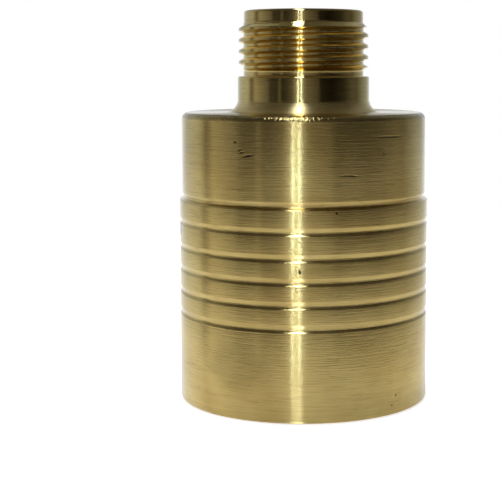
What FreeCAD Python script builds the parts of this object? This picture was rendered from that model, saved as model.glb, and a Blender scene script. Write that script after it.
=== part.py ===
import FreeCAD, Part
import operator
import os
from types import SimpleNamespace

import Sketcher

# Inline water pressure regulator with 3/4 inch garden hose threads.
# Water enters the female thread at the bottom, passes a strainer and a seat, goes up through
# the hollow piston and leaves by the male thread at the top.  Outlet pressure on the piston's
# head drives the piston down onto the seat against a spring that sits in a dry, vented chamber.
# The origin is the centre of the bottom rim, +Z is the flow axis, lengths are millimetres.

DRIVING = {
    # barrel, turned from bar
    "barrel_radius": 25.55,
    "upper_radius": 25.0,
    "barrel_height": 58.9,
    "edge_round": 0.9,
    "rim_round": 0.5,
    # grip grooves round the barrel: steep lower flank, floor, long upper flank
    "grip_first": 17.75,
    "grip_pitch": 4.5,
    "grip_pitch_upper": 5.05,
    "grip_depth": 0.3,
    "grip_lower_flank": 0.55,
    "grip_floor": 0.15,
    "grip_upper_flank": 0.9,
    "vent_offset": 0.5,
    # neck and male outlet thread
    "neck_radius": 13.5,
    "neck_fillet": 2.5,
    "neck_top": 66.2,
    "relief_radius": 12.3,
    "relief_length": 1.7,
    "relief_floor": 1.2,
    "total_height": 79.5,
    "outlet_bore": 8.0,
    "small_chamfer": 0.5,
    # 3/4-11.5 hose threads
    "thread_pitch": 2.2087,
    "thread_flank": 0.635,
    "thread_crest": 0.5,
    "male_crest_radius": 13.3,
    "male_root_radius": 12.2,
    "female_crest_radius": 12.5,
    "female_root_radius": 13.6,
    # bores inside the barrel
    "chamber_radius": 20.0,
    "chamber_roof": 52.6,
    "roof_cone": 3.0,
    "cap_bore": 22.0,
    "cap_shoulder": 16.0,
    # vent of the spring chamber
    "vent_radius": 0.8,
    "filter_radius": 1.6,
    "filter_length": 2.4,
    # inlet cap
    "cap_clearance": 0.05,
    "cap_recess": 1.0,
    "seal_groove_bottom": 13.4,
    "seal_groove_top": 15.6,
    "seal_groove_depth": 1.65,
    "seal_cord": 0.85,
    "hub_radius": 13.0,
    "hub_top": 33.0,
    "gland_radius": 10.6,
    "gland_bottom": 26.0,
    "stem_clearance": 0.3,
    "inlet_chamber_radius": 10.5,
    "inlet_chamber_top": 24.5,
    "carrier_bore": 11.0,
    "carrier_stop": 17.6,
    "washer_seat": 13.4,
    "socket_thread_top": 9.7,
    "spanner_hole_radius": 2.0,
    "spanner_hole_circle": 17.8,
    "spanner_hole_top": 6.0,
    # strainer and hose washer
    "strainer_rim_thickness": 0.6,
    "strainer_rim_bore": 8.0,
    "wire_thickness": 0.4,
    "wire_pitch": 1.4,
    "hose_washer_thickness": 3.0,
    "hose_washer_radius": 13.0,
    "hose_washer_bore": 8.0,
    # seat carrier, seat disc and screw
    "carrier_radius": 10.95,
    "carrier_bottom": 13.5,
    "carrier_ring_bore": 8.8,
    "web_bottom": 13.8,
    "web_top": 15.8,
    "carrier_hub_radius": 3.5,
    "cup_bottom": 18.0,
    "cup_floor": 19.0,
    "cup_top": 20.4,
    "cup_radius": 8.0,
    "cup_bore": 7.4,
    "window_radius": 2.3,
    "window_circle": 6.15,
    "seat_top": 21.0,
    "screw_radius": 1.5,
    "screw_bottom": 14.2,
    "screw_head_radius": 2.7,
    "screw_head_height": 1.5,
    "screw_slot_width": 0.7,
    "screw_slot_depth": 0.8,
    "seat_washer_radius": 3.4,
    "seat_washer_thickness": 0.5,
    # piston and what rides on it
    "stem_radius": 8.0,
    "stem_bore": 5.5,
    "travel": 3.0,
    "lip_clearance": 0.03,
    "lip_width": 0.7,
    "nozzle_flange_radius": 7.4,
    "nozzle_radius": 7.0,
    "nozzle_length": 4.5,
    "stem_bottom": 25.5,
    "head_radius": 19.7,
    "head_bottom": 44.5,
    "head_top": 52.0,
    "guide_groove_bottom": 45.2,
    "guide_groove_top": 47.4,
    "guide_groove_radius": 18.4,
    "ring_groove_bottom": 48.0,
    "ring_groove_top": 51.0,
    "ring_groove_radius": 17.1,
    "ring_cord": 1.4,
    "running_clearance": 0.07,
    "stop_ring_inner": 12.0,
    "stop_ring_outer": 14.0,
    "stop_ring_height": 0.5,
    "stop_notch_width": 4.0,
    "guide_gap": 1.0,
    # stem seal, bush, spring and its washers
    "stem_seal_cord": 1.25,
    "bush_bottom": 28.8,
    "shim_thickness": 1.0,
    "spring_washer_thickness": 1.2,
    "spring_washer_bore": 13.3,
    "spring_washer_radius": 18.8,
    "upper_washer_thickness": 1.1,
    "spring_radius": 16.0,
    "spring_wire": 1.8,
    "spring_pitch": 4.9,
}

LOWER_GROOVES = 4
UPPER_GROOVES = 2
THREAD_TURNS = 4
FLOW_WINDOWS = 6
STOP_NOTCHES = 4
VENTED_GROOVE = 2
SIGNS = {"+": operator.add, "-": operator.sub, "*": operator.mul, "/": operator.truediv}


class Size:
    """A length in mm that also carries the sheet expression it comes from."""

    def __init__(self, value, text):
        self.value = value
        self.text = text

    def __add__(self, other):
        return joined(self, "+", other)

    def __sub__(self, other):
        return joined(self, "-", other)

    def __mul__(self, other):
        return joined(self, "*", other)

    def __truediv__(self, other):
        return joined(self, "/", other)


def joined(left, sign, right):
    """The size that two sizes, or a size and a plain number, make together."""
    if not isinstance(right, Size):
        right = Size(right, str(right))
    return Size(SIGNS[sign](left.value, right.value), f"({left.text} {sign} {right.text})")


ZERO = Size(0, "0")


def fill_sheet(doc):
    """Write the driving sizes into a spreadsheet and return them as named sizes."""
    sheet = doc.addObject("Spreadsheet::Sheet", "Sizes")
    for row, (name, value) in enumerate(DRIVING.items(), start=1):
        sheet.set(f"A{row}", name)
        sheet.set(f"B{row}", str(value))
        sheet.setAlias(f"B{row}", name)
    doc.recompute()
    return SimpleNamespace(**{name: Size(value, f"Sizes.{name}") for name, value in DRIVING.items()})


doc = FreeCAD.newDocument("regulator")
size = fill_sheet(doc)


def bind(thing, **sizes):
    """Bind properties to sizes; a double underscore in a name stands for a dot."""
    for name, value in sizes.items():
        thing.setExpression(name.replace("__", "."), value.text)


def new_body(label):
    body = doc.addObject("PartDesign::Body", label)
    body.Label = label
    return body


def new_sketch(body, name, plane):
    """A sketch on one of the body's own origin planes."""
    sketch = body.newObject("Sketcher::SketchObject", name)
    origin_plane = next(item for item in body.Origin.OriginFeatures if item.Role == plane)
    sketch.AttachmentSupport = [(origin_plane, "")]
    sketch.MapMode = "FlatFace"
    return sketch


def dimension(sketch, kind, place, value):
    """Dimension one point from the sketch's origin, or put it on the other axis."""
    if value is ZERO:
        axis = -2 if kind == "DistanceX" else -1
        sketch.addConstraint(Sketcher.Constraint("PointOnObject", *place, axis))
        return
    index = sketch.addConstraint(Sketcher.Constraint(kind, -1, 1, *place, value.value))
    sketch.setExpression(f"Constraints[{index}]", value.text)


def closed_outline(sketch, points):
    """Straight edges through the points, each point dimensioned from the origin."""
    places = [FreeCAD.Vector(x.value, y.value) for x, y in points]
    for start, end in zip(places, places[1:] + places[:1]):
        sketch.addGeometry(Part.LineSegment(start, end))
    for number, (x, y) in enumerate(points):
        following = (number + 1) % len(points)
        sketch.addConstraint(Sketcher.Constraint("Coincident", number, 2, following, 1))
        dimension(sketch, "DistanceX", (number, 1), x)
        dimension(sketch, "DistanceY", (number, 1), y)


def circle(sketch, x, y, radius):
    """A circle with its centre and radius bound to sizes."""
    centre = FreeCAD.Vector(x.value, y.value)
    number = sketch.addGeometry(Part.Circle(centre, FreeCAD.Vector(0, 0, 1), radius.value))
    dimension(sketch, "DistanceX", (number, 3), x)
    dimension(sketch, "DistanceY", (number, 3), y)
    index = sketch.addConstraint(Sketcher.Constraint("Radius", number, radius.value))
    sketch.setExpression(f"Constraints[{index}]", radius.text)


def revolve(body, kind, sketch):
    """Turn a sketch once round the Z axis, adding or cutting."""
    feature = body.newObject(f"PartDesign::{kind}", f"{sketch.Name}_{kind}")
    feature.Profile = sketch
    feature.ReferenceAxis = (sketch, ["V_Axis"])
    feature.Angle = 360
    sketch.Visibility = False
    return feature


def turned(label, points):
    """A body turned from the half section given as (radius, height) points."""
    body = new_body(label)
    sketch = new_sketch(body, f"{label}_section", "XZ_Plane")
    closed_outline(sketch, points)
    revolve(body, "Revolution", sketch)
    return body


def ring(label, inner, outer, bottom, top):
    """A plain ring, such as a washer."""
    return turned(label, [(inner, bottom), (outer, bottom), (outer, top), (inner, top)])


def cord_ring(label, centre_radius, cord_radius, height):
    """An O-ring."""
    torus = doc.addObject("Part::Torus", label)
    torus.Label = label
    bind(torus, Radius1=centre_radius, Radius2=cord_radius, Placement__Base__z=height)
    return torus


def round_edges(body, radius, corners):
    """Fillet the circular edges that lie at the given (radius, height) corners."""
    doc.recompute()
    base = body.Tip
    names = []
    for number, edge in enumerate(base.Shape.Edges, start=1):
        if not isinstance(edge.Curve, Part.Circle):
            continue
        for corner_radius, height in corners:
            off_radius = abs(edge.Curve.Radius - corner_radius.value)
            off_height = abs(edge.Curve.Center.z - height.value)
            if off_radius < 0.01 and off_height < 0.01:
                names.append(f"Edge{number}")
    if len(names) != len(corners):
        raise RuntimeError(f"{body.Label}: {len(names)} of {len(corners)} edges found")
    fillet = body.newObject("PartDesign::Fillet", f"{body.Label}_round")
    fillet.Base = (base, names)
    bind(fillet, Radius=radius)
    return fillet


def cut(body, sketch, length, reverse, count=1):
    """Pocket a sketch and repeat it round Z; it must take material away."""
    doc.recompute()
    before = body.Shape.Volume
    pocket = body.newObject("PartDesign::Pocket", f"{sketch.Name}_cut")
    pocket.Profile = sketch
    pocket.Type = 0
    pocket.Reversed = reverse
    bind(pocket, Length=length)
    sketch.Visibility = False
    if count > 1:
        pattern = body.newObject("PartDesign::PolarPattern", f"{sketch.Name}_pattern")
        z_axis = next(item for item in body.Origin.OriginFeatures if item.Role == "Z_Axis")
        pattern.Originals = [pocket]
        pattern.Axis = (z_axis, [""])
        pattern.Angle = 360
        pattern.Occurrences = count
        body.Tip = pattern
    doc.recompute()
    if body.Shape.Volume >= before - 0.1:
        raise RuntimeError(f"{sketch.Name} takes nothing away")


def thread_ridges(root_radius, crest_radius, start, upward):
    """Section points of ring-shaped thread ridges, from the start up or down."""
    points = []
    for turn in range(THREAD_TURNS):
        steps = (0, 1, 1, 2)
        crests = (0, 0, 1, 1)
        for step, crest in zip(steps, crests):
            rise = size.thread_pitch * turn + size.thread_flank * step + size.thread_crest * crest
            height = start + rise if upward else start - rise
            points.append((root_radius if step in (0, 2) else crest_radius, height))
    return points


def grip_height(number):
    """Height of the lower edge of a grip groove, counted up from the lowest one."""
    lower = min(number, LOWER_GROOVES - 1)
    height = size.grip_first + size.grip_pitch * lower
    return height + size.grip_pitch_upper * (number - lower)


def barrel_housing():
    """The barrel with its neck, male thread, piston chamber and grip grooves."""
    thread_start = size.neck_top + size.relief_length
    grip_top = grip_height(LOWER_GROOVES + UPPER_GROOVES - 1) + size.grip_lower_flank
    chamfer = size.small_chamfer
    body = turned(
        "barrel_housing",
        [
            (size.cap_bore + chamfer, ZERO),
            (size.barrel_radius, ZERO),
            (size.barrel_radius, grip_top),
            (size.upper_radius, grip_top),
            (size.upper_radius, size.barrel_height),
            (size.neck_radius, size.barrel_height),
            (size.neck_radius, size.neck_top - chamfer),
            (size.neck_radius - chamfer, size.neck_top),
            (size.relief_radius, size.neck_top),
            (size.relief_radius, size.neck_top + size.relief_floor),
            *thread_ridges(size.male_root_radius, size.male_crest_radius, thread_start, True),
            (size.male_root_radius, size.total_height - chamfer),
            (size.male_root_radius - chamfer, size.total_height),
            (size.outlet_bore + chamfer, size.total_height),
            (size.outlet_bore, size.total_height - chamfer),
            (size.outlet_bore, size.chamber_roof + size.roof_cone),
            (size.outlet_bore + size.roof_cone, size.chamber_roof),
            (size.chamber_radius, size.chamber_roof),
            (size.chamber_radius, size.cap_shoulder),
            (size.cap_bore, size.cap_shoulder),
            (size.cap_bore, chamfer),
        ],
    )
    walls = [size.barrel_radius] * (LOWER_GROOVES + UPPER_GROOVES - 1) + [size.upper_radius]
    for number, wall in enumerate(walls):
        lower_edge = grip_height(number)
        floor = lower_edge + size.grip_lower_flank
        ceiling = floor + size.grip_floor
        groove = new_sketch(body, f"grip_section_{number}", "XZ_Plane")
        closed_outline(
            groove,
            [
                (size.barrel_radius, lower_edge),
                (wall - size.grip_depth, floor),
                (wall - size.grip_depth, ceiling),
                (wall, ceiling + size.grip_upper_flank),
                (size.barrel_radius * 1.1, ceiling),
            ],
        )
        revolve(body, "Groove", groove)
    round_edges(body, size.rim_round, [(size.barrel_radius, ZERO)])
    round_edges(body, size.edge_round, [(size.upper_radius, size.barrel_height)])
    round_edges(body, size.neck_fillet, [(size.neck_radius, size.barrel_height)])

    vent_height = grip_height(VENTED_GROOVE) + size.vent_offset
    vent = new_sketch(body, "vent_hole", "XZ_Plane")
    circle(vent, ZERO, vent_height, size.vent_radius)
    cut(body, vent, size.barrel_radius + 1, reverse=False)
    seat = new_sketch(body, "filter_bore", "XZ_Plane")
    circle(seat, ZERO, vent_height, size.filter_radius)
    cut(body, seat, size.chamber_radius + size.filter_length, reverse=False)


def vent_filter():
    """Sintered plug behind the vent hole, lying along +Y."""
    plug = doc.addObject("Part::Cylinder", "vent_filter")
    plug.Label = "vent_filter"
    plug.Placement.Rotation = FreeCAD.Rotation(FreeCAD.Vector(1, 0, 0), -90)
    bind(
        plug,
        Radius=size.filter_radius - size.lip_clearance,
        Height=size.filter_length - size.lip_clearance * 8,
        Placement__Base__y=size.chamber_radius + size.lip_clearance * 7,
        Placement__Base__z=grip_height(VENTED_GROOVE) + size.vent_offset,
    )


def inlet_cap():
    """The cap screwed into the barrel: female thread, seat carrier bore and stem hub."""
    outer = size.cap_bore - size.cap_clearance
    bottom = size.cap_recess
    chamfer = size.small_chamfer
    groove = outer - size.seal_groove_depth
    stem_hole = size.stem_radius + size.stem_clearance
    body = turned(
        "inlet_cap",
        [
            (size.female_root_radius + chamfer, bottom),
            (outer - chamfer, bottom),
            (outer, bottom + chamfer),
            (outer, size.seal_groove_bottom),
            (groove, size.seal_groove_bottom),
            (groove, size.seal_groove_top),
            (outer, size.seal_groove_top),
            (outer, size.cap_shoulder),
            (size.hub_radius, size.cap_shoulder),
            (size.hub_radius, size.hub_top - chamfer),
            (size.hub_radius - chamfer, size.hub_top),
            (size.gland_radius, size.hub_top),
            (size.gland_radius, size.gland_bottom),
            (stem_hole, size.gland_bottom),
            (stem_hole, size.inlet_chamber_top),
            (size.inlet_chamber_radius, size.inlet_chamber_top),
            (size.inlet_chamber_radius, size.carrier_stop),
            (size.carrier_bore, size.carrier_stop),
            (size.carrier_bore, size.washer_seat),
            (size.female_root_radius, size.washer_seat),
            *thread_ridges(
                size.female_root_radius, size.female_crest_radius, size.socket_thread_top, False
            ),
        ],
    )
    holes = new_sketch(body, "spanner_holes", "XY_Plane")
    circle(holes, size.spanner_hole_circle, ZERO, size.spanner_hole_radius)
    cut(body, holes, size.spanner_hole_top, reverse=True, count=2)


def cap_seal():
    groove_radius = size.cap_bore - size.cap_clearance - size.seal_groove_depth
    cord_ring(
        "cap_seal",
        groove_radius + size.seal_cord,
        size.seal_cord - size.lip_clearance / 3,
        (size.seal_groove_bottom + size.seal_groove_top) / 2,
    )


def strainer():
    """The strainer's pressed rim and its woven wires, clipped to a disc."""
    rim_bottom = size.washer_seat - size.strainer_rim_thickness
    ring("strainer_rim", size.strainer_rim_bore, size.hose_washer_radius, rim_bottom, size.washer_seat)
    height = rim_bottom + size.strainer_rim_thickness / 2
    wires = []
    half_count = int(size.strainer_rim_bore.value / size.wire_pitch.value)
    for number in range(-half_count, half_count + 1):
        for direction in ("along", "across"):
            wire = doc.addObject("Part::Cylinder", f"wire_{direction}_{number + half_count}")
            reach = size.strainer_rim_bore
            offset = size.wire_pitch * number
            turn_axis = FreeCAD.Vector(0, 1, 0) if direction == "along" else FreeCAD.Vector(1, 0, 0)
            angle = 90 if direction == "along" else -90
            wire.Placement.Rotation = FreeCAD.Rotation(turn_axis, angle)
            bind(wire, Radius=size.wire_thickness / 2, Height=reach * 2, Placement__Base__z=height)
            if direction == "along":
                bind(wire, Placement__Base__x=reach * -1, Placement__Base__y=offset)
            else:
                bind(wire, Placement__Base__y=reach * -1, Placement__Base__x=offset)
            wires.append(wire)
    weave = doc.addObject("Part::MultiFuse", "weave")
    weave.Shapes = wires
    disc = doc.addObject("Part::Cylinder", "mesh_disc")
    bind(
        disc,
        Radius=size.strainer_rim_bore - size.lip_clearance,
        Height=size.strainer_rim_thickness,
        Placement__Base__z=rim_bottom,
    )
    mesh = doc.addObject("Part::Common", "strainer_mesh")
    mesh.Label = "strainer_mesh"
    mesh.Base = weave
    mesh.Tool = disc
    mesh.Refine = True


def hose_washer():
    top = size.washer_seat - size.strainer_rim_thickness
    ring(
        "hose_washer",
        size.hose_washer_bore,
        size.hose_washer_radius,
        top - size.hose_washer_thickness,
        top,
    )


def seat_carrier():
    """Screwed-in carrier: an outer ring, a drilled web and a cup for the seat disc."""
    screw_hole = size.screw_radius + size.lip_clearance
    body = turned(
        "seat_carrier",
        [
            (screw_hole, size.web_bottom),
            (size.carrier_hub_radius, size.web_bottom),
            (size.carrier_ring_bore, size.web_bottom),
            (size.carrier_ring_bore, size.carrier_bottom),
            (size.carrier_radius, size.carrier_bottom),
            (size.carrier_radius, size.carrier_stop - size.lip_clearance),
            (size.carrier_ring_bore, size.carrier_stop - size.lip_clearance),
            (size.carrier_ring_bore, size.web_top),
            (size.carrier_hub_radius, size.web_top),
            (size.carrier_hub_radius, size.cup_bottom),
            (size.cup_radius, size.cup_bottom),
            (size.cup_radius, size.cup_top),
            (size.cup_bore, size.cup_top),
            (size.cup_bore, size.cup_floor),
            (screw_hole, size.cup_floor),
        ],
    )
    windows = new_sketch(body, "flow_windows", "XY_Plane")
    circle(windows, size.window_circle, ZERO, size.window_radius)
    cut(body, windows, (size.web_top + size.cup_bottom) / 2, reverse=True, count=FLOW_WINDOWS)


def seat_parts():
    """Rubber seat disc, its washer and the slotted screw that holds both."""
    hole = size.screw_radius + size.lip_clearance * 2
    ring("seat_disc", hole, size.cup_bore - size.lip_clearance * 2, size.cup_floor, size.seat_top)
    washer_top = size.seat_top + size.seat_washer_thickness
    ring("seat_washer", hole, size.seat_washer_radius, size.seat_top, washer_top)
    head_top = washer_top + size.screw_head_height
    body = turned(
        "seat_screw",
        [
            (ZERO, size.screw_bottom),
            (size.screw_radius, size.screw_bottom),
            (size.screw_radius, washer_top),
            (size.screw_head_radius, washer_top),
            (size.screw_head_radius, head_top - size.lip_clearance * 10),
            (size.screw_head_radius - size.lip_clearance * 10, head_top),
            (ZERO, head_top),
        ],
    )
    slot = new_sketch(body, "screw_slot", "XZ_Plane")
    half = size.screw_slot_width / 2
    floor = head_top - size.screw_slot_depth
    closed_outline(
        slot,
        [(half * -1, floor), (half, floor), (half, head_top + half), (half * -1, head_top + half)],
    )
    doc.recompute()
    before = body.Shape.Volume
    pocket = body.newObject("PartDesign::Pocket", "screw_slot_cut")
    pocket.Profile = slot
    pocket.Type = 0
    pocket.Midplane = True
    bind(pocket, Length=size.screw_head_radius * 3)
    doc.recompute()
    if body.Shape.Volume >= before - 0.1:
        raise RuntimeError("the screw slot takes nothing away")


def stem_guide():
    """Stem seal and the bush pressed in above it."""
    inner = size.stem_radius + size.running_clearance
    cord_ring(
        "stem_o_ring",
        inner + size.stem_seal_cord,
        size.stem_seal_cord,
        size.gland_bottom + size.stem_seal_cord + size.lip_clearance * 2,
    )
    chamfer = size.small_chamfer
    outer = size.gland_radius - size.lip_clearance
    turned(
        "stem_bush",
        [
            (inner, size.bush_bottom),
            (outer - chamfer, size.bush_bottom),
            (outer, size.bush_bottom + chamfer),
            (outer, size.hub_top),
            (inner + chamfer, size.hub_top),
            (inner, size.hub_top - chamfer),
        ],
    )


def piston():
    """Hollow piston: stem, head with two ring grooves, and a notched stop ring on top."""
    lip_bottom = size.seat_top + size.travel + size.lip_clearance
    chamfer = size.small_chamfer
    nozzle_top = size.stem_bottom + size.nozzle_length
    funnel = size.small_chamfer * 3
    body = turned(
        "piston",
        [
            (size.nozzle_radius, size.stem_bottom),
            (size.stem_radius - chamfer / 2, size.stem_bottom),
            (size.stem_radius, size.stem_bottom + chamfer / 2),
            (size.stem_radius, size.head_bottom),
            (size.head_radius - chamfer, size.head_bottom),
            (size.head_radius, size.head_bottom + chamfer),
            (size.head_radius, size.guide_groove_bottom),
            (size.guide_groove_radius, size.guide_groove_bottom),
            (size.guide_groove_radius, size.guide_groove_top),
            (size.head_radius, size.guide_groove_top),
            (size.head_radius, size.ring_groove_bottom),
            (size.ring_groove_radius, size.ring_groove_bottom),
            (size.ring_groove_radius, size.ring_groove_top),
            (size.head_radius, size.ring_groove_top),
            (size.head_radius, size.head_top - chamfer),
            (size.head_radius - chamfer, size.head_top),
            (size.stop_ring_outer, size.head_top),
            (size.stop_ring_outer, size.head_top + size.stop_ring_height),
            (size.stop_ring_inner, size.head_top + size.stop_ring_height),
            (size.stop_ring_inner, size.head_top),
            (size.stem_bore + funnel, size.head_top),
            (size.stem_bore, size.head_top - funnel),
            (size.stem_bore, nozzle_top),
            (size.nozzle_radius, nozzle_top),
        ],
    )
    notches = new_sketch(body, "stop_notches", "XZ_Plane")
    half = size.stop_notch_width / 2
    floor = size.head_top
    top = size.head_top + size.stop_ring_height * 2
    closed_outline(notches, [(half * -1, floor), (half, floor), (half, top), (half * -1, top)])
    cut(body, notches, size.head_radius, reverse=False, count=STOP_NOTCHES)
    insert = size.nozzle_radius - size.lip_clearance
    turned(
        "piston_nozzle",
        [
            (size.stem_bore, lip_bottom),
            (size.stem_bore + size.lip_width, lip_bottom),
            (size.nozzle_flange_radius, size.stem_bottom - chamfer / 2),
            (size.nozzle_flange_radius, size.stem_bottom),
            (insert, size.stem_bottom),
            (insert, nozzle_top),
            (size.stem_bore, nozzle_top),
        ],
    )


def piston_rings():
    """The head's O-ring and its split guide ring."""
    reach = size.chamber_radius - size.running_clearance
    middle = (size.ring_groove_bottom + size.ring_groove_top) / 2
    cord_ring("piston_o_ring", reach - size.ring_cord, size.ring_cord, middle)
    side_play = size.lip_clearance
    body = ring(
        "guide_ring",
        size.guide_groove_radius + side_play,
        reach,
        size.guide_groove_bottom + side_play,
        size.guide_groove_top - side_play,
    )
    gap = new_sketch(body, "guide_ring_gap", "XZ_Plane")
    half = size.guide_gap / 2
    closed_outline(
        gap,
        [
            (half * -1, size.head_bottom),
            (half, size.head_bottom),
            (half, size.ring_groove_bottom),
            (half * -1, size.ring_groove_bottom),
        ],
    )
    cut(body, gap, size.chamber_radius * 2, reverse=False)


def spring_set():
    """Preload shim, both spring washers and the spring with ground ends."""
    shim_top = size.cap_shoulder + size.shim_thickness
    spring_bottom = shim_top + size.spring_washer_thickness
    spring_top = size.head_bottom - size.upper_washer_thickness
    bore = size.spring_washer_bore
    rim = size.spring_washer_radius
    ring("preload_shim", bore, rim, size.cap_shoulder, shim_top)
    ring("lower_spring_washer", bore, rim, shim_top, spring_bottom)
    upper_bore = size.stem_radius + size.stem_clearance
    ring("upper_spring_washer", upper_bore, rim, spring_top, size.head_bottom)

    helix = doc.addObject("Part::Helix", "spring_line")
    start = spring_bottom - size.spring_wire / 2
    bind(
        helix,
        Pitch=size.spring_pitch,
        Height=spring_top - spring_bottom + size.spring_wire,
        Radius=size.spring_radius,
        Placement__Base__z=start,
    )
    wire = doc.addObject("Part::Circle", "spring_wire_section")
    wire.Placement.Rotation = FreeCAD.Rotation(FreeCAD.Vector(1, 0, 0), 90)
    bind(
        wire,
        Radius=size.spring_wire,
        Placement__Base__x=size.spring_radius,
        Placement__Base__z=start,
    )
    coil = doc.addObject("Part::Sweep", "spring_coil")
    coil.Sections = [wire]
    coil.Spine = helix
    coil.Solid = True
    coil.Frenet = True
    slab = doc.addObject("Part::Cylinder", "ground_height")
    bind(
        slab,
        Radius=size.chamber_radius,
        Height=spring_top - spring_bottom,
        Placement__Base__z=spring_bottom,
    )
    spring = doc.addObject("Part::Common", "spring")
    spring.Label = "spring"
    spring.Base = coil
    spring.Tool = slab


barrel_housing()
vent_filter()
inlet_cap()
cap_seal()
hose_washer()
strainer()
seat_carrier()
seat_parts()
stem_guide()
piston()
piston_rings()
spring_set()
doc.recompute()

NODES = [
    "barrel_housing",
    "vent_filter",
    "inlet_cap",
    "cap_seal",
    "hose_washer",
    "strainer_rim",
    "strainer_mesh",
    "seat_carrier",
    "seat_disc",
    "seat_washer",
    "seat_screw",
    "stem_o_ring",
    "stem_bush",
    "piston",
    "piston_nozzle",
    "piston_o_ring",
    "guide_ring",
    "preload_shim",
    "lower_spring_washer",
    "upper_spring_washer",
    "spring",
]

for thing in doc.Objects:
    if {"Invalid", "Error"} & set(thing.State):
        raise RuntimeError(f"{thing.Label} failed: {thing.State}")

os.makedirs("parts", exist_ok=True)
for label in NODES:
    shape = doc.getObjectsByLabel(label)[0].Shape
    if shape.isNull() or not shape.isValid():
        raise RuntimeError(f"{label} has no valid shape")
    shape.exportStep(f"parts/{label}.step")
    print(f"{label}: {len(shape.Solids)} solid, {shape.Volume:.1f} mm3, top {shape.BoundBox.ZMax:.2f}")
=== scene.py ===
import math

import bpy
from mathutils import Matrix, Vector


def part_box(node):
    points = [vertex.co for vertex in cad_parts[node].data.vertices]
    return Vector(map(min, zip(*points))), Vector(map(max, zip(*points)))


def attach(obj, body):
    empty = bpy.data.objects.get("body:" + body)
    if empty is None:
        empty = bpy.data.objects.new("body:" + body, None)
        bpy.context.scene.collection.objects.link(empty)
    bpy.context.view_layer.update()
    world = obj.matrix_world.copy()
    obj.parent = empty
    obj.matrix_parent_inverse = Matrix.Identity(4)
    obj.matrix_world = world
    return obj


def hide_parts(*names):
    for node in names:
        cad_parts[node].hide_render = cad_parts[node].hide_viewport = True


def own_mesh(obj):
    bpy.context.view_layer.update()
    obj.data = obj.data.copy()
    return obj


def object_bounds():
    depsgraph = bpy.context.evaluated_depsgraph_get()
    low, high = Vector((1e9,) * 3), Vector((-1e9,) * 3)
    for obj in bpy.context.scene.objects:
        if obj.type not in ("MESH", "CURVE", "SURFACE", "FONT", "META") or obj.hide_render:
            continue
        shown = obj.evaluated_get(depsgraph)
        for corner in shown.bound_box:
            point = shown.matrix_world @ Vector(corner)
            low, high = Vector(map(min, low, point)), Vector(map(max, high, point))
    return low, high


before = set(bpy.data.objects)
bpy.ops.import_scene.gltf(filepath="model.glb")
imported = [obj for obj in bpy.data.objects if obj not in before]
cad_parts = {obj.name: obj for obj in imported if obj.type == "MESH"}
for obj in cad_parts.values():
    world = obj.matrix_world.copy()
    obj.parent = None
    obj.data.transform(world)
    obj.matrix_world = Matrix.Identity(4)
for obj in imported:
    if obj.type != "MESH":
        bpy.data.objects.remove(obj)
cad_low, cad_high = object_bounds()

# ---------------------------------------------------------------------------------------------
# Camera: a long lens a little above the shoulder, tipped down six degrees, with the object
# right of the middle and close under the upper edge of the picture.
CAMERA_DISTANCE = 0.2705
CAMERA_HEIGHT = 0.0682
CAMERA_TIP = math.radians(6)
LENS = 94.3
bpy.ops.object.camera_add(location=(0, -CAMERA_DISTANCE, CAMERA_HEIGHT))
camera = bpy.context.object
camera.name = "camera"
camera.rotation_euler = (math.pi / 2 - CAMERA_TIP, 0, 0)
camera.data.sensor_width = 36
camera.data.lens = LENS
# the shift moves the object right and up in the picture, with no more tilt
camera.data.shift_x = -0.107
camera.data.shift_y = -0.092
camera.data.clip_start = 0.01
camera.data.clip_end = 20
bpy.context.scene.camera = camera
bpy.context.scene.view_settings.view_transform = "Standard"


# ---------------------------------------------------------------------------------------------
# Studio: a sheet of white paper under and behind the object, a dim room in front of it where
# the camera stands, two thin strip lights left of the camera, and a long lamp and a soft warm
# one overhead.
def linear(hex_colour):
    """An sRGB hex colour as linear red, green, blue and alpha."""
    parts = [int(hex_colour[i : i + 2], 16) / 255 for i in (1, 3, 5)]
    curved = [c / 12.92 if c <= 0.04045 else ((c + 0.055) / 1.055) ** 2.4 for c in parts]
    return (*curved, 1)


def add_node(tree, kind, inputs=None, stops=None, **settings):
    """A node with its settings; an input is a value, or another node or socket to link.

    The stops of a colour ramp are (position, grey or hex colour) pairs.
    """
    made = tree.nodes.new(kind)
    for name, value in settings.items():
        setattr(made, name, value)
    for socket, value in (inputs or {}).items():
        if isinstance(value, bpy.types.Node):
            value = value.outputs[0]
        if isinstance(value, bpy.types.NodeSocket):
            tree.links.new(value, made.inputs[socket])
        else:
            made.inputs[socket].default_value = value
    if stops:
        while len(made.color_ramp.elements) < len(stops):
            made.color_ramp.elements.new(0.5)
        for element, (position, shade) in zip(made.color_ramp.elements, stops):
            element.position = position
            element.color = linear(shade) if isinstance(shade, str) else (shade, shade, shade, 1)
    return made


def start_material(name):
    """An empty material and its node tree."""
    made = bpy.data.materials.new(name)
    made.use_nodes = True
    made.node_tree.nodes.clear()
    return made, made.node_tree


world = bpy.data.worlds.new("studio")
bpy.context.scene.world = world
world.use_nodes = True
sky = world.node_tree
sky.nodes.clear()
direction = add_node(sky, "ShaderNodeTexCoord").outputs["Generated"]
sides = add_node(sky, "ShaderNodeSeparateXYZ", {0: direction})
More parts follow.
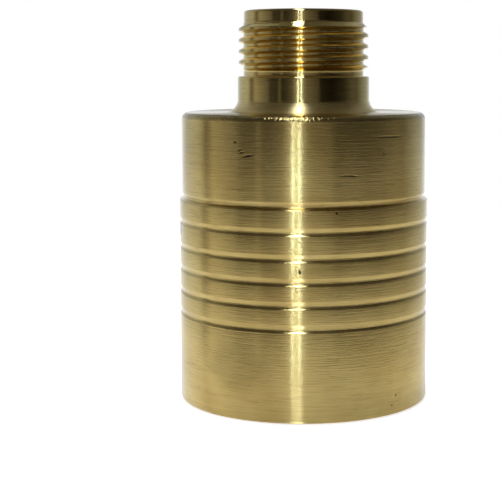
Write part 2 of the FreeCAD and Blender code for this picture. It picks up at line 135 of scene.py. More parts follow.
# walls by compass bearing, in degrees from the front, right positive: a dark front with a soft
# glow where the lamps stand, grey sides, a door frame on the left and a white back
to_front = add_node(sky, "ShaderNodeMath", {0: sides.outputs["Y"], 1: -1.0}, operation="MULTIPLY")
bearing = add_node(
    sky, "ShaderNodeMath", {0: sides.outputs["X"], 1: to_front}, operation="ARCTAN2"
)
turn = add_node(sky, "ShaderNodeMapRange", {0: bearing, 1: -math.pi, 2: math.pi})
WALLS = [
    (-180, "#f0f6ff"), (-162, "#dbe5f6"), (-145, "#b6c1cf"), (-116, "#adb5c0"), (-110, "#9ba0a6"),
    (-104, 0.14), (-100, 0.18), (-93, 0.34), (-75, 0.2), (-66, 0.14), (-60, 0.05), (-46, 0.035),
    (-42, 0.13), (-38, 0.025), (-28, 0.05), (-20, 0.11), (-15, 0.27), (-12, "#b6c2dc"),
    (-1, "#aebcdc"), (2, 0.24), (7, 0.16), (25, 0.075), (31, 0.01), (48, 0.001), (57, 0.005),
    (75, 0.022), (95, 0.09), (107, 0.085), (114, "#686d75"), (145, "#a0aab7"),
    (162, "#d2ddee"), (180, "#f0f6ff"),
]
walls = add_node(
    sky,
    "ShaderNodeValToRGB",
    {"Fac": turn},
    stops=[(degrees / 360 + 0.5, level) for degrees, level in WALLS],
)
# the walls fade into a dark ceiling, highest in the back corners: bearing, and how far up
TOPS = [
    (-180, 0.36), (-163, 0.42), (-150, 1.4), (-118, 1.3), (-100, 0.55),
    (100, 0.55), (118, 1.3), (150, 1.4), (163, 0.42), (180, 0.36),
]
tops = add_node(
    sky,
    "ShaderNodeValToRGB",
    {"Fac": turn},
    stops=[(degrees / 360 + 0.5, level) for degrees, level in TOPS],
)
FADE_FROM = 0.15
wall_top = add_node(
    sky, "ShaderNodeMapRange", {0: sides.outputs["Z"], 1: FADE_FROM, 2: tops, 3: 1.0, 4: 0.0}
)
# from straight down to straight up: the grey table past the paper, then the ceiling
rise = add_node(sky, "ShaderNodeMapRange", {0: sides.outputs["Z"], 1: -1.0, 2: 1.0})
table_and_ceiling = add_node(
    sky,
    "ShaderNodeValToRGB",
    {"Fac": rise},
    stops=[
        (0.42, 0.32), (0.49, 0.01), (0.55, 0.0), (0.7, 0.01),
        (0.78, 0.08), (0.9, 0.07), (0.97, 0.08),
    ],
)
wall_light = add_node(sky, "ShaderNodeBackground", {"Color": walls, "Strength": wall_top})
flat_light = add_node(sky, "ShaderNodeBackground", {"Color": table_and_ceiling, "Strength": 1.0})
studio = add_node(sky, "ShaderNodeAddShader", {0: wall_light, 1: flat_light})
# the camera itself sees plain white past the paper
paths = add_node(sky, "ShaderNodeLightPath")
white = add_node(sky, "ShaderNodeBackground", {"Color": (1, 1, 1, 1), "Strength": 1.0})
backdrop = add_node(
    sky, "ShaderNodeMixShader", {0: paths.outputs["Is Camera Ray"], 1: studio, 2: white}
)
add_node(sky, "ShaderNodeOutputWorld", {"Surface": backdrop})

# the paper lies a hair under the object, so that no face of the two coincides
PAPER_WIDTH, PAPER_DEPTH, PAPER_FRONT = 0.2, 0.4, -0.1
UNDER = -0.0002
bpy.ops.object.select_all(action="DESELECT")
bpy.ops.mesh.primitive_plane_add(size=1, location=(0, PAPER_DEPTH / 2 + PAPER_FRONT, UNDER))
bpy.ops.transform.resize(value=(PAPER_WIDTH, PAPER_DEPTH, 1))
floor = bpy.context.object
floor.name = "floor"
paper, tree = start_material("white_paper_sweep")
# the camera and the metal see the paper as white; how bright it looks to each is set here
PAPER_GLOW = 0.7
IN_METAL = 0.8
rays = add_node(tree, "ShaderNodeLightPath")
mirrored = add_node(
    tree, "ShaderNodeMath", {0: rays.outputs["Is Glossy Ray"], 1: IN_METAL}, operation="MULTIPLY"
)
seen = add_node(
    tree, "ShaderNodeMath", {0: rays.outputs["Is Camera Ray"], 1: mirrored}, operation="ADD"
)
glow = add_node(tree, "ShaderNodeMath", {0: seen, 1: PAPER_GLOW}, operation="MULTIPLY")
white_glow = add_node(tree, "ShaderNodeEmission", {"Color": (1, 1, 1, 1), "Strength": glow})
matt = add_node(tree, "ShaderNodeBsdfDiffuse", {"Color": linear("#f2f2f2")})
both = add_node(tree, "ShaderNodeAddShader", {0: matt, 1: white_glow})
# the paper is coated: metal that stands on it sees the room mirrored in its smooth face
COATING = 0.5
gloss = add_node(
    tree, "ShaderNodeMath", {0: rays.outputs["Is Glossy Ray"], 1: COATING}, operation="MULTIPLY"
)
mirror = add_node(tree, "ShaderNodeBsdfGlossy", {"Color": (1, 1, 1, 1), "Roughness": 0.12})
card = add_node(tree, "ShaderNodeMixShader", {0: gloss, 1: both, 2: mirror})
add_node(tree, "ShaderNodeOutputMaterial", {"Surface": card})
floor.data.materials.append(paper)

# two tall thin strips left of the camera: name, place across and watts
STRIPS = (("strip_light", -0.051, 0.6), ("strip_light_left", -0.122, 0.55))
COOL_WHITE = (0.6, 0.75, 1.0)
for name, across, watts in STRIPS:
    bpy.ops.object.light_add(type="AREA", location=(across, -0.75, 0.55))
    strip = bpy.context.object
    strip.name = name
    strip.data.shape = "RECTANGLE"
    strip.data.size = 0.006
    strip.data.size_y = 2.1
    strip.data.energy = watts
    strip.data.color = COOL_WHITE
    strip.rotation_euler = (math.pi / 2, 0, 0)
    strip.visible_camera = False

# a long oval lamp overhead, from front to back, glints on every edge that faces upwards
bpy.ops.object.light_add(type="AREA", location=(-0.06, -0.3, 0.75))
oval = bpy.context.object
oval.name = "overhead_oval"
oval.data.shape = "ELLIPSE"
oval.data.size = 0.11
oval.data.size_y = 0.92
oval.data.energy = 3.1
oval.data.color = (0.68, 0.78, 1.0)
oval.visible_camera = False

# the warm room light is wide and soft: it shades matt pieces and the paper, not the metal
bpy.ops.object.light_add(type="SUN", location=(-0.3, 0.3, 0.6))
overhead = bpy.context.object
overhead.name = "overhead_lamp"
overhead.data.energy = 1.4
overhead.data.color = (1.0, 0.93, 0.82)
overhead.data.angle = math.radians(40)
overhead.rotation_euler = (math.radians(-24), math.radians(-10), 0)
overhead.visible_glossy = False

# ---------------------------------------------------------------------------------------------
# Barrel housing: one turned bar of plumbing brass, with six grip grooves, a shoulder, a neck
# and a single-point cut hose thread. It is left uncoated, with the lathe's marks on it.
MM = 0.001
# a full turn is drawn in this many steps
ROUND_STEPS = 192
# radii, in mm: the outside from the widest in, then the bores from the top down
outer = cad_high.x / MM
upper = 25.0
neck = 13.5
crest = 13.3
relief = 12.3
core = 12.2
outlet, chamber, cap_bore = 8.0, 20.0, 22.0
# heights, in mm, from the base
top = cad_high.z / MM
shoulder, neck_top, thread_start = 58.9, 66.2, 67.4
chamber_floor, chamber_roof = 16, 52.6
GROOVES = [17.65 + 4.5 * n for n in range(4)] + [36.2, 41.1]
# above the start of the thread: where it is full, where it ends and where the nose begins
full_thread, thread_end, nose = 0.6, 8.6, 9.6
# the bore opens into the chamber in a 45 degree cone, and the thread rises 2.2087 mm a turn
MOUTH_CONE = 3
PITCH = 2.2087


def draw_section(name, points):
    """A half section drawn point by point: (radius, height, rounding), all in mm."""
    bpy.ops.object.select_all(action="DESELECT")
    radius, height, _ = points[0]
    bpy.ops.mesh.primitive_plane_add(size=MM, location=(0, 0, 0))
    piece = bpy.context.object
    piece.name = name
    piece.data.name = name
    bpy.ops.object.mode_set(mode="EDIT")
    bpy.ops.mesh.select_all(action="SELECT")
    bpy.ops.mesh.merge(type="CENTER")
    bpy.ops.transform.translate(value=(radius * MM, 0, height * MM))
    for (r0, z0, _), (r1, z1, _) in zip(points, points[1:]):
        step = ((r1 - r0) * MM, 0, (z1 - z0) * MM)
        bpy.ops.mesh.extrude_region_move(TRANSFORM_OT_translate={"value": step})
    bpy.ops.object.mode_set(mode="OBJECT")
    for rounding in sorted({point[2] for point in points if point[2]}):
        corners = [(r * MM, z * MM) for r, z, size in points if size == rounding]
        for vertex in piece.data.vertices:
            near = [abs(vertex.co.x - r) + abs(vertex.co.z - z) < 1e-6 for r, z in corners]
            vertex.select = any(near)
        for edge in piece.data.edges:
            edge.select = False
        bpy.ops.object.mode_set(mode="EDIT")
        bpy.ops.mesh.bevel(
            offset_type="OFFSET", offset=rounding * MM, segments=4, affect="VERTICES"
        )
        bpy.ops.object.mode_set(mode="OBJECT")
    return piece


def spin_section(piece):
    """Turn the half section once round the axis into a closed solid."""
    bpy.ops.object.mode_set(mode="EDIT")
    bpy.ops.mesh.select_all(action="SELECT")
    bpy.ops.mesh.spin(
        steps=ROUND_STEPS, angle=math.tau, center=(0, 0, 0), axis=(0, 0, 1), use_auto_merge=True
    )
    bpy.ops.mesh.select_all(action="SELECT")
    bpy.ops.mesh.remove_doubles(threshold=1e-6)
    bpy.ops.mesh.normals_make_consistent(inside=False)
    bpy.ops.object.mode_set(mode="OBJECT")


def cut_away(piece, tool):
    """Take the tool's solid out of the piece, and put the tool away."""
    bpy.ops.object.select_all(action="DESELECT")
    bpy.context.view_layer.objects.active = piece
    piece.select_set(True)
    bpy.ops.object.modifier_add(type="BOOLEAN")
    modifier = piece.modifiers[-1]
    modifier.operation = "DIFFERENCE"
    modifier.solver = "EXACT"
    modifier.object = tool
    bpy.ops.object.modifier_apply(modifier=modifier.name)
    bpy.data.objects.remove(tool)


def groove_outline(lower_edge, below, above):
    """One grip groove, 0.3 mm deep and 1.5 mm wide, from the land below to the wall above it."""
    floor_radius = above - 0.3
    return [
        (below, lower_edge, 0.06),
        (below - 0.15, lower_edge + 0.12, 0.08),
        (floor_radius, lower_edge + 0.45, 0.07),
        (floor_radius, lower_edge + 0.8, 0.07),
        (above, lower_edge + 1.5, 0.12),
    ]


# the outline, from the bottom edge up the outside and back down the bore
CHAMFER = 0.5
outline = [(cap_bore + CHAMFER, 0, 0), (outer, 0, 0.5)]
for lower_edge in GROOVES[:-1]:
    outline += groove_outline(lower_edge, outer, outer)
outline += groove_outline(GROOVES[-1], outer, upper)
outline += [
    (upper, shoulder, 1.3),
    (neck, shoulder, 2.5),
    (neck, neck_top, 0.35),
    (relief, neck_top, 0.25),
    (relief, thread_start, 0.25),
    (crest, thread_start + full_thread, 0.05),
    (crest, thread_start + thread_end, 0.05),
    (core, thread_start + nose, 0.2),
    (core, top, 0.5),
    (outlet, top, 0.45),
    (outlet, chamber_roof + MOUTH_CONE, 0),
    (outlet + MOUTH_CONE, chamber_roof, 0),
    (chamber, chamber_roof, 0),
    (chamber, chamber_floor, 0),
    (cap_bore, chamber_floor, 0),
    (cap_bore, CHAMFER, 0),
    (cap_bore + CHAMFER, 0, 0),
]
barrel = draw_section("turned_barrel", outline)
spin_section(barrel)

# the thread is cut by a 60 degree tool that runs in from the relief and out over the nose: its
# half widths at the root and at the mouth, and the radius of the mouth, just past the crest
TURNS = 4.84
root_half, mouth_half, mouth = 0.22, 0.96, crest + 0.3
run_in = thread_start - 0.1
tool = draw_section(
    "thread_tool",
    [
        (relief + 0.02, run_in - root_half, 0),
        (relief + 0.02, run_in + root_half, 0),
        (mouth, run_in + mouth_half, 0),
        (mouth, run_in - mouth_half, 0),
        (relief + 0.02, run_in - root_half, 0),
    ],
)
bpy.ops.object.mode_set(mode="EDIT")
bpy.ops.mesh.select_all(action="SELECT")
bpy.ops.mesh.remove_doubles(threshold=1e-6)
bpy.ops.transform.rotate(value=math.radians(-90), orient_axis="Z", center_override=(0, 0, 0))
bpy.ops.object.mode_set(mode="OBJECT")
bpy.ops.object.modifier_add(type="SCREW")
helix = tool.modifiers[-1]
helix.angle = TURNS * math.tau
helix.screw_offset = TURNS * PITCH * MM
helix.steps = round(TURNS * ROUND_STEPS)
helix.render_steps = helix.steps
helix.use_merge_vertices = False
bpy.ops.object.modifier_apply(modifier=helix.name)
bpy.ops.object.mode_set(mode="EDIT")
bpy.ops.mesh.select_all(action="SELECT")
bpy.ops.mesh.fill_holes(sides=4)
bpy.ops.mesh.normals_make_consistent(inside=False)
bpy.ops.object.mode_set(mode="OBJECT")
cut_away(barrel, tool)

# the vent of the spring chamber is drilled through the back, wider inside for its filter
vent_low, vent_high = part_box("vent_filter")
vent_height = (vent_low.z + vent_high.z) / 2
# radius, and how far from the axis each drill starts and ends
VENT_DRILLS = ((0.8, 21.0, 28.0), (1.6, 18.0, 22.4))
for radius, start, end in VENT_DRILLS:
    bpy.ops.object.select_all(action="DESELECT")
    bpy.ops.mesh.primitive_cylinder_add(
        vertices=32,
        radius=radius * MM,
        depth=(end - start) * MM,
        location=(0, (start + end) / 2 * MM, vent_height),
        rotation=(math.pi / 2, 0, 0),
    )
    cut_away(barrel, bpy.context.object)
SHARP_EDGE = math.radians(35)
bpy.ops.object.shade_smooth_by_angle(angle=SHARP_EDGE)

# Free-cutting brass off the lathe: a warm yellow metal whose tool marks run round the axis, so
# a lamp's reflection is drawn out along the axis into a bright streak. Handling has left it
# slightly browned in clouds, with short scratches, pits and a few knocks.
brass, tree = start_material("turned_brass")
place = add_node(tree, "ShaderNodeTexCoord").outputs["Object"]


def lathe_feed(tree, place):
    """The radius, the height, and the place with its third part running the way a tool feeds.

    That part is the height less the radius, so it runs along the axis on a cylinder and across
    the face on a shoulder.
    """
    parts = add_node(tree, "ShaderNodeSeparateXYZ", {0: place})
    flat = add_node(
        tree, "ShaderNodeVectorMath", {0: place, 1: (1, 1, 0)}, operation="MULTIPLY"
    )
    radius = add_node(tree, "ShaderNodeVectorMath", {0: flat}, operation="LENGTH").outputs["Value"]
    height = parts.outputs["Z"]
    along = add_node(tree, "ShaderNodeMath", {0: height, 1: radius}, operation="SUBTRACT")
    fed = add_node(
        tree,
        "ShaderNodeCombineXYZ",
        {"X": parts.outputs["X"], "Y": parts.outputs["Y"], "Z": along},
    )
    return radius, height, fed


def turning_marks(tree, fed, feed_mm, length_mm, detail):
    """Noise drawn out round the axis: marks of one width along the feed and one length round."""
    squeezed = add_node(
        tree,
        "ShaderNodeMapping",
        {"Vector": fed, "Scale": (1000 / length_mm, 1000 / length_mm, 1000 / feed_mm)},
    )
    return add_node(
        tree, "ShaderNodeTexNoise", {"Vector": squeezed, "Scale": 1.0, "Detail": detail}
    )


# real turning marks are about 0.1 mm apart; they are drawn at 0.25 mm, so that they show, with
# wider bands where the tool was dressed, short scuffs, and places where the metal tore
radius, height, fed = lathe_feed(tree, place)
fine = turning_marks(tree, fed, 0.25, 30, 2.0)
bands = turning_marks(tree, fed, 1.4, 50, 2.0)
scuffs = turning_marks(tree, fed, 0.18, 4, 1.0)
torn = turning_marks(tree, fed, 0.3, 0.7, 1.0)
# brown clouds about 11 mm across; the scale of a plain noise like this one is in cells a metre
clouds = add_node(tree, "ShaderNodeTexNoise", {"Vector": place, "Scale": 90.0, "Detail": 4.0})
tint = add_node(
    tree, "ShaderNodeValToRGB", {"Fac": clouds}, stops=[(0.32, "#d8b970"), (0.62, "#e7cb80")]
)
# the round where the neck meets the shoulder is painted a paler brass, a painted reflection
# standing in for the light the concave round gathers;
# what changes from there up the neck goes by the height, from 57 to 65 mm
up_the_neck = add_node(tree, "ShaderNodeMapRange", {0: height, 1: 57 * MM, 2: 65 * MM})
fillet_painted_light = add_node(
    tree,
    "ShaderNodeValToRGB",
    {"Fac": up_the_neck},
    stops=[(0.25, 0.0), (0.27, 1.0), (0.47, 1.0), (0.56, 0.0)],
)
# painted light: the round's paler colour
tint = add_node(
    tree, "ShaderNodeMix", {0: fillet_painted_light, 6: tint, 7: linear("#f5da94")}, data_type="RGBA"
).outputs[2]
# painted shade: the round of the shoulder's edge is darkened to 0.6 of its colour, a painted
# reflection of a dark room
section = add_node(tree, "ShaderNodeCombineXYZ", {"X": radius, "Z": height})
corner = (upper * MM, 0, shoulder * MM)
to_edge = add_node(
    tree, "ShaderNodeVectorMath", {0: section, 1: corner}, operation="DISTANCE"
).outputs["Value"]
on_edge = add_node(
    tree, "ShaderNodeMapRange", {0: to_edge, 1: 0.6 * MM, 2: 1.3 * MM, 3: 1.0, 4: 0.0}
)
shades = [
    # painted shade on the round of the shoulder's edge
    add_node(tree, "ShaderNodeMapRange", {0: on_edge, 3: 1.0, 4: 0.6}),
    add_node(tree, "ShaderNodeValToRGB", {"Fac": fine}, stops=[(0.35, 0.95), (0.6, 1.0)]),
    add_node(tree, "ShaderNodeValToRGB", {"Fac": bands}, stops=[(0.3, 0.93), (0.6, 1.0)]),
    add_node(tree, "ShaderNodeValToRGB", {"Fac": scuffs}, stops=[(0.57, 1.0), (0.7, 0.82)]),
]

# knocks, scratches, pits and brown patches: middle, half length and half height in mm, tilt in
# degrees, and how much of the light the mark takes
MARKS = [
    ((-13.0, -21.4, 53.9), 0.4, 0.35, 0, 0.7),
    ((-12.1, -21.9, 52.4), 0.7, 0.22, -14, 0.75),
    ((-11.8, -22.0, 51.9), 0.9, 0.22, -14, 0.8),
    ((-10.6, -22.6, 51.3), 1.6, 0.28, -12, 0.85),
    ((8.6, -23.4, 47.6), 2.6, 0.2, 3, 0.85),
    ((16.7, -18.6, 54.7), 4.5, 0.28, 2, 0.55),
    ((15.4, -19.7, 51.7), 0.25, 0.8, 0, 0.45),
    ((6.3, -24.7, 40.7), 0.35, 0.4, 0, 0.85),
    ((-0.7, -25.5, 29.5), 0.3, 0.6, 0, 0.85),
    ((18.2, -18.0, 3.8), 0.35, 0.3, 0, 0.75),
    ((17.4, -18.8, 2.0), 0.3, 0.25, 0, 0.75),
    ((-25.0, -5.2, 35.3), 1.9, 1.7, 0, 0.85),
    ((-13.0, -22.0, 10.5), 9.0, 7.0, 0, 0.2),
    ((14.0, 21.0, 34.0), 8.0, 6.0, 0, 0.2),
]
# their outlines wander by up to 0.15 mm, about once a millimetre
ragged = add_node(
    tree, "ShaderNodeTexNoise", {"Vector": place, "Scale": 900.0, "Detail": 2.0}
).outputs["Color"]
off_place = add_node(tree, "ShaderNodeVectorMath", {0: ragged, 1: (-0.5, -0.5, -0.5)})
small = add_node(
    tree, "ShaderNodeVectorMath", {0: off_place, "Scale": 0.3 * MM}, operation="SCALE"
)
wandering = add_node(tree, "ShaderNodeVectorMath", {0: place, 1: small})
marked = 1.0
for middle, half_length, half_height, tilt, depth in MARKS:
    local = add_node(
        tree,
        "ShaderNodeMapping",
        {
            "Vector": wandering,
            "Location": [value * MM for value in middle],
            "Rotation": (0, math.radians(tilt), 0),
            "Scale": (half_length * MM, half_length * MM, half_height * MM),
        },
        vector_type="TEXTURE",
    )
    distance = add_node(tree, "ShaderNodeVectorMath", {0: local}, operation="LENGTH")
    mark = add_node(
        tree,
        "ShaderNodeMapRange",
        {0: distance.outputs["Value"], 1: 0.4, 2: 1.0, 3: 1.0 - depth, 4: 1.0},
        interpolation_type="SMOOTHSTEP",
    )
    marked = add_node(tree, "ShaderNodeMath", {0: marked, 1: mark}, operation="MINIMUM")
shades.append(marked)

colour = tint
for shade in shades:
    colour = add_node(
        tree,
        "ShaderNodeMix",
        {0: 1.0, 6: colour, 7: shade},
        data_type="RGBA",
        blend_type="MULTIPLY",
    ).outputs[2]

# the neck was finished with a finer feed, so it reflects more sharply than the barrel, and the
# round below it was left the roughest
roughness = add_node(
    tree,
    "ShaderNodeValToRGB",
    {"Fac": up_the_neck},
    stops=[(0.24, 0.19), (0.27, 0.42), (0.46, 0.38), (0.56, 0.1)],
)
# the edge of the shoulder has been knocked about, and is rough with dents half a mm across
dents = add_node(tree, "ShaderNodeTexNoise", {"Vector": place, "Scale": 2100.0, "Detail": 1.0})
knocked = add_node(tree, "ShaderNodeMath", {0: dents, 1: on_edge}, operation="MULTIPLY")
# the turning lines fade to a third of their depth from the round to the neck
smoother = add_node(
    tree, "ShaderNodeMapRange", {0: up_the_neck, 1: 0.4, 2: 0.65, 3: 1.0, 4: 0.3}
)
lines = add_node(tree, "ShaderNodeMath", {0: fine, 1: smoother}, operation="MULTIPLY")
# depths in mm; each bump is laid over the one before it
relief_normal = None
HEIGHTS = ((0.12, knocked), (0.05, marked), (0.017, scuffs), (0.011, torn), (0.018, lines))
for depth_mm, height_map in HEIGHTS:
    settings = {"Strength": 1.0, "Distance": depth_mm * MM, "Height": height_map}
    if relief_normal:
        settings["Normal"] = relief_normal
    relief_normal = add_node(tree, "ShaderNodeBump", settings)
round_axis = add_node(tree, "ShaderNodeTangent", direction_type="RADIAL", axis="Z")
metal = add_node(
    tree,
    "ShaderNodeBsdfPrincipled",
    {
        "Base Color": colour,
        "Metallic": 1.0,
        "Roughness": roughness,
        "Anisotropic": 1.0,
        "Anisotropic Rotation": 0.25,
        "Normal": relief_normal,
        "Tangent": round_axis,
    },
)
add_node(tree, "ShaderNodeOutputMaterial", {"Surface": metal})
barrel.data.materials.append(brass)
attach(barrel, "regulator_body")
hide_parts("barrel_housing")

# ---------------------------------------------------------------------------------------------
# Vent filter: a plug of sintered bronze beads pressed in behind the vent hole, so that the
# spring chamber breathes and dirt stays out.
def dress(material, *names):
    """Give the material to CAD nodes whose shape stays as it is."""
    for node in names:
        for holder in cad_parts[node].material_slots:
            holder.material = material


# bronze beads 0.3 mm across: each is painted lighter in its middle, a painted highlight, with
# painted shade in the gaps between them
sintered, tree = start_material("sintered_bronze")
place = add_node(tree, "ShaderNodeTexCoord").outputs["Object"]
beads = add_node(
    tree, "ShaderNodeTexVoronoi", {"Vector": place, "Scale": 1000 / 0.3}, feature="F1"
)
# painted highlight on each bead and painted shade between the beads
bead_light_and_gap_shade = add_node(
    tree,
    "ShaderNodeValToRGB",
    {"Fac": beads.outputs["Distance"]},
    stops=[(0.25, "#b98c52"), (0.75, "#3a2716")],
)
bumps = add_node(
    tree,
    "ShaderNodeBump",
    {"Strength": 0.8, "Distance": 0.1 * MM, "Height": beads.outputs["Distance"]},
    invert=True,
)
metal = add_node(
    tree,
    "ShaderNodeBsdfPrincipled",
    {"Base Color": bead_light_and_gap_shade, "Metallic": 1.0, "Roughness": 0.55, "Normal": bumps},
)
add_node(tree, "ShaderNodeOutputMaterial", {"Surface": metal})
dress(sintered, "vent_filter")

# ---------------------------------------------------------------------------------------------
# Inlet cap and seat carrier: turned from the same brass as the barrel. The cap screws into the
# bottom of the barrel and carries the female hose thread; the carrier screws up into the cap.
# As machined and never handled: even, brighter than the barrel and with closer tool marks.
machined, tree = start_material("machined_brass")
place = add_node(tree, "ShaderNodeTexCoord").outputs["Object"]
_, _, fed = lathe_feed(tree, place)
fine = turning_marks(tree, fed, 0.2, 40, 1.0)
bands = turning_marks(tree, fed, 1.2, 60, 1.0)
tint = add_node(
    tree, "ShaderNodeValToRGB", {"Fac": bands}, stops=[(0.35, "#dcc077"), (0.65, "#ebd28c")]
)
dulled = add_node(
    tree, "ShaderNodeMapRange", {0: fine, 1: 0.3, 2: 0.7, 3: 0.22, 4: 0.3}
)
grain = add_node(
    tree, "ShaderNodeBump", {"Strength": 0.8, "Distance": 0.012 * MM, "Height": fine}
)
round_axis = add_node(tree, "ShaderNodeTangent", direction_type="RADIAL", axis="Z")
metal = add_node(
    tree,
    "ShaderNodeBsdfPrincipled",
    {
        "Base Color": tint,
        "Metallic": 1.0,
        "Roughness": dulled,
        "Anisotropic": 0.8,
        "Anisotropic Rotation": 0.25,
        "Normal": grain,
        "Tangent": round_axis,
    },
)
add_node(tree, "ShaderNodeOutputMaterial", {"Surface": metal})
dress(machined, "inlet_cap", "seat_carrier")

# ---------------------------------------------------------------------------------------------
# Seals: nitrile rubber O-rings in the cap, on the stem and on the piston, and the flat hose
# washer that lies in the bottom of the female thread.
# Moulded nitrile is near black and satin, duller where a faint grey bloom lies on it in patches
# of 4 mm. The texture of its skin is drawn at a third of a millimetre, so that it shows.
nitrile, tree = start_material("moulded_nitrile_rubber")
place = add_node(tree, "ShaderNodeTexCoord").outputs["Object"]
bloom = add_node(tree, "ShaderNodeTexNoise", {"Vector": place, "Scale": 250.0, "Detail": 5.0})
tint = add_node(
    tree, "ShaderNodeValToRGB", {"Fac": bloom}, stops=[(0.35, "#151515"), (0.7, "#262625")]
)
skin = add_node(tree, "ShaderNodeTexNoise", {"Vector": place, "Scale": 3000.0, "Detail": 2.0})
satin = add_node(tree, "ShaderNodeMapRange", {0: bloom, 1: 0.3, 2: 0.7, 3: 0.42, 4: 0.58})
texture = add_node(
    tree, "ShaderNodeBump", {"Strength": 0.3, "Distance": 0.01 * MM, "Height": skin}
)
rubber = add_node(
    tree,
    "ShaderNodeBsdfPrincipled",
    {"Base Color": tint, "Roughness": satin, "IOR": 1.52, "Normal": texture},
)
add_node(tree, "ShaderNodeOutputMaterial", {"Surface": rubber})
dress(nitrile, "cap_seal", "hose_washer", "stem_o_ring", "piston_o_ring")

# ---------------------------------------------------------------------------------------------
# Stainless pieces: the strainer's woven wire and its pressed rim, the screw and washer that
# clamp the seat disc, the nozzle in the piston, and the flat washers and shim under the spring.
# Drawn and rolled stainless: pale grey, with brush lines 0.2 mm wide and 6 mm long, of which the
# paler ones are a little duller.
stainless, tree = start_material("stainless_steel")
place = add_node(tree, "ShaderNodeTexCoord").outputs["Object"]
brushed = add_node(
    tree, "ShaderNodeMapping", {"Vector": place, "Scale": (1000 / 6, 1000 / 0.2, 1000 / 0.2)}
)
lines = add_node(
    tree, "ShaderNodeTexNoise", {"Vector": brushed, "Scale": 1.0, "Detail": 2.0}
)
tint = add_node(
    tree, "ShaderNodeValToRGB", {"Fac": lines}, stops=[(0.3, "#b4b3ae"), (0.7, "#cfcec9")]
)
dulled = add_node(tree, "ShaderNodeMapRange", {0: lines, 1: 0.3, 2: 0.7, 3: 0.24, 4: 0.36})
metal = add_node(
    tree, "ShaderNodeBsdfPrincipled", {"Base Color": tint, "Metallic": 1.0, "Roughness": dulled}
)
add_node(tree, "ShaderNodeOutputMaterial", {"Surface": metal})
dress(stainless, "strainer_rim", "strainer_mesh", "seat_screw", "seat_washer")
dress(stainless, "piston_nozzle", "preload_shim", "lower_spring_washer", "upper_spring_washer")

# ---------------------------------------------------------------------------------------------
# Seat disc: a flat disc of firm rubber, punched from sheet and clamped on the seat carrier,
# which the piston's nozzle closes on.
# Flat moulded seat rubber: dark warm grey, matt, with a mould texture 1.7 mm across.
firm, tree = start_material("seat_rubber")
place = add_node(tree, "ShaderNodeTexCoord").outputs["Object"]
mottle = add_node(tree, "ShaderNodeTexNoise", {"Vector": place, "Scale": 600.0, "Detail": 4.0})
tint = add_node(
    tree, "ShaderNodeValToRGB", {"Fac": mottle}, stops=[(0.3, "#393532"), (0.7, "#4a4541")]
)
texture = add_node(
    tree, "ShaderNodeBump", {"Strength": 0.4, "Distance": 0.01 * MM, "Height": mottle}
)
rubber = add_node(
    tree,
    "ShaderNodeBsdfPrincipled",
    {"Base Color": tint, "Roughness": 0.68, "IOR": 1.52, "Normal": texture},
)
add_node(tree, "ShaderNodeOutputMaterial", {"Surface": rubber})
dress(firm, "seat_disc")

# ---------------------------------------------------------------------------------------------
# Piston, stem bush and guide ring: the piston is turned from acetal rod, and it slides in a
# PTFE bush in the cap and on a split PTFE ring snapped into a groove in its head.
# Natural acetal: milky white, slightly translucent and waxy, with the tool's rings on it.
acetal, tree = start_material("turned_acetal")
place = add_node(tree, "ShaderNodeTexCoord").outputs["Object"]
_, _, fed = lathe_feed(tree, place)
fine = turning_marks(tree, fed, 0.25, 30, 1.0)
tint = add_node(
    tree, "ShaderNodeValToRGB", {"Fac": fine}, stops=[(0.3, "#e2dfd3"), (0.7, "#edeae0")]
)
rings = add_node(
    tree, "ShaderNodeBump", {"Strength": 0.5, "Distance": 0.015 * MM, "Height": fine}
)
plastic = add_node(
    tree,
    "ShaderNodeBsdfPrincipled",
    {
        "Base Color": tint,
        "Roughness": 0.38,
        "IOR": 1.48,
        "Subsurface Weight": 0.15,
        "Subsurface Scale": 0.001,
        "Normal": rings,
    },
)
add_node(tree, "ShaderNodeOutputMaterial", {"Surface": plastic})
dress(acetal, "piston")

# PTFE: whiter than acetal, soft and waxy, with faint smears where it rubs.
ptfe, tree = start_material("turned_ptfe")
place = add_node(tree, "ShaderNodeTexCoord").outputs["Object"]
_, _, fed = lathe_feed(tree, place)
smears = turning_marks(tree, fed, 0.6, 20, 2.0)
tint = add_node(
    tree, "ShaderNodeValToRGB", {"Fac": smears}, stops=[(0.3, "#e9e9e6"), (0.7, "#f4f4f1")]
)
waxy = add_node(tree, "ShaderNodeMapRange", {0: smears, 1: 0.3, 2: 0.7, 3: 0.4, 4: 0.52})
plastic = add_node(
    tree,
    "ShaderNodeBsdfPrincipled",
    {"Base Color": tint, "Roughness": waxy, "IOR": 1.35, "Subsurface Weight": 0.2},
)
add_node(tree, "ShaderNodeOutputMaterial", {"Surface": plastic})
dress(ptfe, "stem_bush", "guide_ring")

# ---------------------------------------------------------------------------------------------
# Spring: cold drawn spring wire 3.6 mm thick, coiled, with its ends cut and ground flat. It
# stands on the lower washer round the piston's stem and holds the piston up, and it shortens by
# the piston's 3 mm of travel.
spring_low, spring_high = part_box("spring")
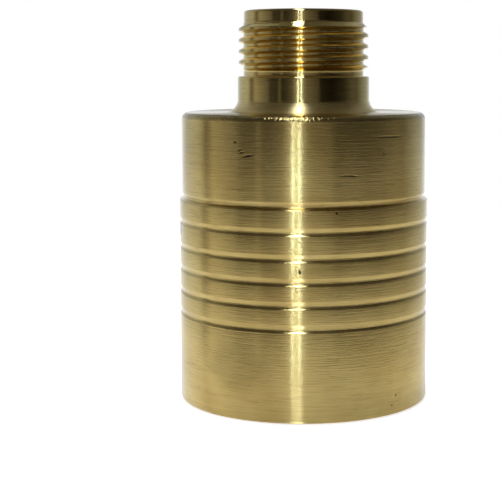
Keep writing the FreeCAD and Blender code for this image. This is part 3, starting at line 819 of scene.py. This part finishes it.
# sizes in mm, and the number of steps that one turn is drawn in
WIRE_RADIUS = 1.8
COIL_RADIUS = 16
COIL_PITCH = 4.9
WIRE_STEPS = 48
coil_start = spring_low.z / MM - WIRE_RADIUS / 2
coil_turns = ((spring_high.z - spring_low.z) / MM + WIRE_RADIUS) / COIL_PITCH
bpy.ops.object.select_all(action="DESELECT")
bpy.ops.mesh.primitive_circle_add(
    vertices=20,
    radius=WIRE_RADIUS * MM,
    location=(COIL_RADIUS * MM, 0, coil_start * MM),
    rotation=(math.pi / 2, 0, 0),
)
coil = bpy.context.object
coil.name = "coiled_spring"
coil.data.name = "coiled_spring"
bpy.ops.object.transform_apply(location=True, rotation=True, scale=True)
bpy.ops.object.modifier_add(type="SCREW")
winding = coil.modifiers[-1]
winding.angle = coil_turns * math.tau
winding.screw_offset = coil_turns * COIL_PITCH * MM
winding.steps = round(coil_turns * WIRE_STEPS)
winding.render_steps = winding.steps
winding.use_merge_vertices = False
bpy.ops.object.modifier_apply(modifier=winding.name)
bpy.ops.object.mode_set(mode="EDIT")
bpy.ops.mesh.select_all(action="SELECT")
bpy.ops.mesh.fill_holes(sides=0)
for ground_at, facing in ((spring_low.z, -1), (spring_high.z, 1)):
    bpy.ops.mesh.select_all(action="SELECT")
    bpy.ops.mesh.bisect(
        plane_co=(0, 0, ground_at),
        plane_no=(0, 0, facing),
        use_fill=True,
        clear_outer=True,
        threshold=1e-7,
    )
bpy.ops.mesh.select_all(action="SELECT")
bpy.ops.mesh.normals_make_consistent(inside=False)
bpy.ops.object.mode_set(mode="OBJECT")
bpy.ops.object.shade_smooth_by_angle(angle=SHARP_EDGE)

# Drawn wire is a darker grey than the stainless pieces, with paler, duller patches 2.5 mm across
# where the die's lubricant stayed on it.
wire, tree = start_material("drawn_spring_wire")
place = add_node(tree, "ShaderNodeTexCoord").outputs["Object"]
patches = add_node(tree, "ShaderNodeTexNoise", {"Vector": place, "Scale": 400.0, "Detail": 3.0})
tint = add_node(
    tree, "ShaderNodeValToRGB", {"Fac": patches}, stops=[(0.35, "#8b8a87"), (0.7, "#aeadaa")]
)
dulled = add_node(tree, "ShaderNodeMapRange", {0: patches, 1: 0.3, 2: 0.7, 3: 0.25, 4: 0.4})
metal = add_node(
    tree, "ShaderNodeBsdfPrincipled", {"Base Color": tint, "Metallic": 1.0, "Roughness": dulled}
)
add_node(tree, "ShaderNodeOutputMaterial", {"Surface": metal})
coil.data.materials.append(wire)
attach(coil, "regulator_body")
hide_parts("spring")
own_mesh(coil)
